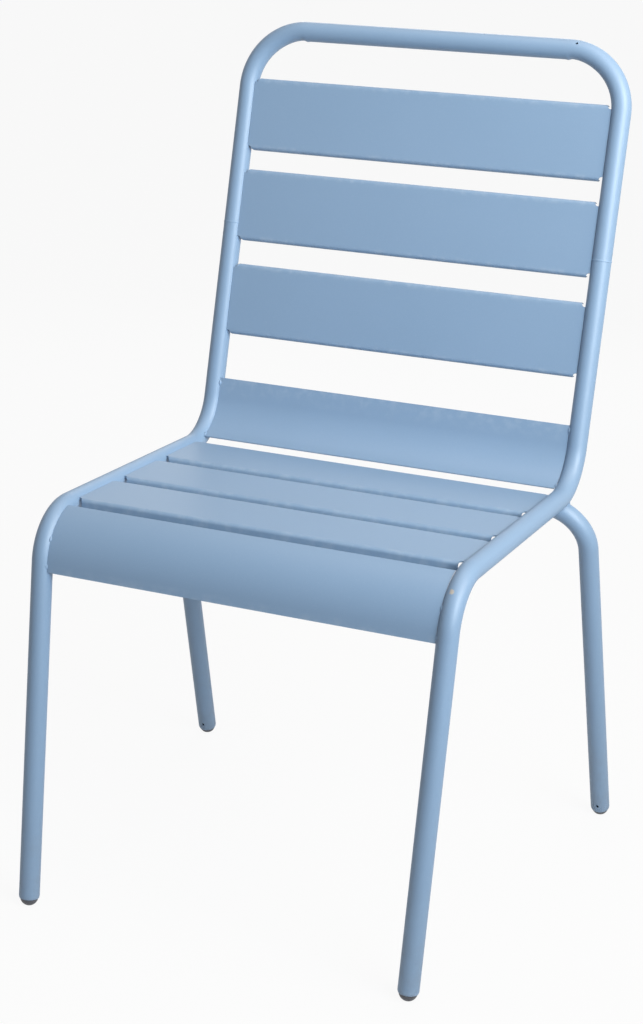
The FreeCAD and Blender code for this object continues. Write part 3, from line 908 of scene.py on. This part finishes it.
def ring_bead_tree():
    """Sweeps a flat oval bead round a tube and gives it the ripples of the weld pool."""
    net, given = new_tree("ring bead", {"Ring radius": ("Float", 0.011), "Bead depth": ("Float", 0.001),
                                        "Bead width": ("Float", 0.003), "Ripples": ("Float", 34.0),
                                        "Ripple depth": ("Float", 0.00004), "Unevenness": ("Float", 4.0),
                                        "Seed": ("Float", 0.0), "Round steps": ("Int", 160),
                                        "Oval steps": ("Int", 20), "Place": ("Vector", None),
                                        "Tilt": ("Float", 0.0), "Coat": ("Material", None)})
    ring = net.add("GeometryNodeCurvePrimitiveCircle", values={"Resolution": given.of("Round steps"),
                                                               "Radius": given.of("Ring radius")})
    oval = net.add("GeometryNodeCurvePrimitiveCircle", values={"Resolution": given.of("Oval steps"),
                                                               "Radius": 1.0})
    size = net.add("ShaderNodeCombineXYZ", values={"X": given.of("Bead depth"),
                                                   "Y": given.of("Bead width") * 0.5, "Z": 1.0})
    oval = net.add("GeometryNodeTransform", values={"Geometry": oval, "Scale": size})
    bead = net.add("GeometryNodeCurveToMesh", values={"Curve": ring, "Profile Curve": oval})
    place = net.add("GeometryNodeInputPosition")
    across = net.add("ShaderNodeSeparateXYZ", values={0: place}, out="X")
    round_it = across.math("ARCTAN2", across.of("Y"), across)
    ripple = across.math("SINE", round_it * given.of("Ripples"))
    uneven = net.noise(place, 260.0, seed=given.of("Seed"))
    push = given.of("Ripple depth") * (ripple + given.of("Unevenness") * (uneven - 0.5))
    facing = net.add("GeometryNodeInputNormal")
    move = net.add("ShaderNodeVectorMath", {"operation": "SCALE"}, {0: facing, "Scale": push})
    bead = net.add("GeometryNodeSetPosition", values={"Geometry": bead, "Offset": move})
    turn = net.add("ShaderNodeCombineXYZ", values={"X": given.of("Tilt")})
    bead = net.add("GeometryNodeTransform", values={"Geometry": bead, "Translation": given.of("Place"),
                                                    "Rotation": turn})
    return finish_tree(net, bead, given.of("Coat"))


def lumpy_tree():
    """Roughens a bead's surface along its normals."""
    net, given = new_tree("lumpy bead", {"Lump size": ("Float", 0.0012), "Lump height": ("Float", 0.0001),
                                         "Coat": ("Material", None)})
    place = net.add("GeometryNodeInputPosition")
    lumps = net.noise(place, 1.0 / given.of("Lump size"), detail=1.5)
    facing = net.add("GeometryNodeInputNormal")
    push = net.add("ShaderNodeVectorMath", {"operation": "SCALE"},
                   {0: facing, "Scale": given.of("Lump height") * (lumps - 0.5) * 2.0})
    bead = net.add("GeometryNodeSetPosition", values={"Geometry": given.of("Geometry"), "Offset": push})
    return finish_tree(net, bead, given.of("Coat"))


def seam_tacks(name, place, heading, first_straight, radius, turn, side, distances):
    """Short beads in the seam between a rolled slat and the tubes, at distances along the slat."""
    shape = bmesh.new()
    toward = Vector((0, heading.z, -heading.y))
    for distance in distances:
        angle = min(max(distance - first_straight, 0) / radius, turn)
        rest = distance - max(min(distance, first_straight), 0) - radius * angle
        along = min(distance, first_straight) + radius * math.sin(angle) + rest * math.cos(angle)
        above = face_height - side * (radius * (1 - math.cos(angle)) + rest * math.sin(angle))
        run = heading * math.cos(angle) - toward * side * math.sin(angle)
        out = toward * math.cos(angle) + heading * side * math.sin(angle)
        for hand in (-1, 1):
            spot = place + heading * along + toward * above + out * tack_sink
            spot.x = hand * seam_reach
            slope = (out + Vector((-hand, 0, 0))).normalized()
            axes = Matrix((run * tack_length / 2, run.cross(slope) * tack_width / 2,
                           slope * tack_height)).transposed().to_4x4()
            bmesh.ops.create_icosphere(shape, subdivisions=4, radius=1.0,
                                       matrix=Matrix.Translation(spot) @ axes)
    mesh = bpy.data.meshes.new(name)
    shape.to_mesh(mesh)
    shape.free()
    return smooth(faces_out(grown(link(name, mesh), lumpy_bead, Coat=weld_coat)), 60)


def weld_metal(name, node):
    """A rounded, lumpy weld in the place of a plain one."""
    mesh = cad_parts[node].data.copy()
    mesh.materials.clear()
    made = link(name, mesh)
    shape = bmesh.new()
    shape.from_mesh(made.data)
    bmesh.ops.remove_doubles(shape, verts=shape.verts, dist=1e-6)
    shape.to_mesh(made.data)
    shape.free()
    fine = made.modifiers.new("grain", "REMESH")
    fine.mode = "VOXEL"
    fine.voxel_size = weld_grain
    soft = made.modifiers.new("soft", "SMOOTH")
    soft.factor = soft_share
    soft.iterations = soft_rounds
    settle(made)
    return smooth(faces_out(grown(made, lumpy_bead, Coat=weld_coat)), 60)


ring_bead = ring_bead_tree()
lumpy_bead = lumpy_tree()
weld_coat = powder_coat("powder coat on weld", weld_roughness, weld_peel)
for seed, (name, side) in enumerate((("left", -1), ("right", 1))):
    bead = link("ring_bead_" + name, bpy.data.meshes.new("ring_bead"))
    grown(bead, ring_bead, Ring_radius=tube_radius + ring_bead_height - ring_bead_depth,
          Bead_depth=ring_bead_depth, Bead_width=ring_bead_width, Ripples=ring_ripples,
          Ripple_depth=ring_ripple_depth, Seed=first_ring_seed + seed,
          Place=Vector((side * joint.x, joint.y, joint.z)), Tilt=math.atan2(down_back.y, -down_back.z),
          Coat=weld_coat)
    smooth(faces_out(bead), 60)
    leg_bead = weld_metal("leg_bead_" + name, "rear_leg_weld_" + name)
    for piece, node in ((bead, "hoop_weld_" + name), (leg_bead, "rear_leg_weld_" + name)):
        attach(piece, "root")
        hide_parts(node)
tack_pieces = [(name, weld_metal(name + "_tacks", name + "_welds")) for name, heading in flat_slats]
tack_pieces.append(("lumbar_slat", seam_tacks("lumbar_slat_tacks", lumbar_start, down_back, lumbar_straight,
                                              lumbar_roll, lumbar_turn, -1, lumbar_tacks)))
tack_pieces.append(("front_slat", seam_tacks("front_slat_tacks", front_place, front_heading, 0.0,
                                             front_roll, front_roll_turn, 1, front_tacks)))
for name, tacks in tack_pieces:
    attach(tacks, "root")
    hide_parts(name + "_welds")

# ======================================================================== floor, light and camera
# A plain pale floor, a broad soft light in front on the right like a window, weaker ones beside,
# above and behind the chair, and white all round.

floor_size = 60.0
floor_dark = (0.66, 0.66, 0.66)
floor_light = (0.70, 0.70, 0.70)
floor_glow_share = 0.93
fill_strength = 0.20
full_white = (1.0, 1.0, 1.0, 1.0)


def seen_by_camera(net):
    """1 for what the camera sees directly, in a reflection or through glass, and 0 for lighting."""
    path = net.add("ShaderNodeLightPath", out="Is Camera Ray")
    return path.most(path.of("Is Glossy Ray")).most(path.of("Is Transmission Ray"))


def studio_floor(name):
    """A pale matt floor that looks white but keeps a faint shadow."""
    material, net = new_material(name)
    place = net.add("ShaderNodeTexCoord", out="Object")
    tint = net.mix(net.noise(place, 0.8, detail=2.0), floor_dark, floor_light)
    matt = net.add("ShaderNodeBsdfDiffuse", values={"Color": tint})
    glow = net.add("ShaderNodeEmission", values={"Color": full_white, "Strength": 1.0})
    share = seen_by_camera(net) * floor_glow_share
    shader = net.add("ShaderNodeMixShader", values={0: share, 1: matt, 2: glow})
    net.add("ShaderNodeOutputMaterial", values={"Surface": shader})
    return material


mesh = bpy.data.meshes.new("studio_floor")
half = floor_size / 2
mesh.from_pydata([(-half, -half, 0), (half, -half, 0), (half, half, 0), (-half, half, 0)], [], [(0, 1, 2, 3)])
floor = link("studio_floor", mesh)
floor.data.materials.append(studio_floor("pale floor"))

world = bpy.data.worlds.new("studio")
bpy.context.scene.world = world
world.use_nodes = True
net = Net(world.node_tree)
fill = net.add("ShaderNodeBackground", values={"Color": full_white, "Strength": fill_strength})
white = net.add("ShaderNodeBackground", values={"Color": full_white, "Strength": 1.0})
sky = net.add("ShaderNodeMixShader", values={0: seen_by_camera(net), 1: fill, 2: white})
net.add("ShaderNodeOutputWorld", values={"Surface": sky})


def soft_light(name, place, aim, width, height, spread, power, colour):
    """A rectangular lamp aimed at a point; its spread in degrees is how wide the light leaves it."""
    lamp = bpy.data.lights.new(name, "AREA")
    lamp.shape = "RECTANGLE"
    lamp.size = width
    lamp.size_y = height
    lamp.spread = math.radians(spread)
    lamp.energy = power
    lamp.color = colour
    made = bpy.data.objects.new(name, lamp)
    bpy.context.scene.collection.objects.link(made)
    made.location = place
    made.rotation_euler = (Vector(aim) - Vector(place)).to_track_quat("-Z", "Y").to_euler()
    return made


soft_light("rim_light", (1.2, -0.2, 1.5), (0.1, 0.1, 0.85), 0.6, 0.9, 100, 4.5, (1.0, 0.86, 0.67))
soft_light("window_light", (1.6, -1.0, 1.5), (0.0, 0.0, 1.0), 1.0, 1.4, 100, 17.4, (0.84, 0.94, 1.0))
soft_light("top_light", (0.2, 0.1, 2.6), (0.0, 0.0, 0.5), 1.4, 1.4, 180, 13.1, (1.0, 0.91, 0.84))
soft_light("back_light", (-0.6, 2.6, 1.5), (0.0, 0.1, 0.5), 1.6, 1.6, 180, 15.0, (1.0, 1.0, 1.0))

eye = Vector((0.8341, -1.9810, 1.0452))
pan = math.radians(23.0)
tilt = math.radians(16.7)
roll = math.radians(2.2075)
ahead = Vector((-math.sin(pan) * math.cos(tilt), math.cos(pan) * math.cos(tilt), -math.sin(tilt)))
level = Vector((math.cos(pan), math.sin(pan), 0))
over = level.cross(ahead)
camera_x = level * math.cos(roll) + over * math.sin(roll)
camera_y = over * math.cos(roll) - level * math.sin(roll)
lens = bpy.data.cameras.new("camera")
lens.sensor_width = 36.0
lens.lens = 73.09
lens.clip_start = 0.05
lens.clip_end = 200.0
camera = bpy.data.objects.new("camera", lens)
bpy.context.scene.collection.objects.link(camera)
camera.matrix_world = Matrix.Translation(eye) @ Matrix((camera_x, camera_y, -ahead)).transposed().to_4x4()
bpy.context.scene.camera = camera
bpy.context.scene.view_settings.view_transform = "Standard"
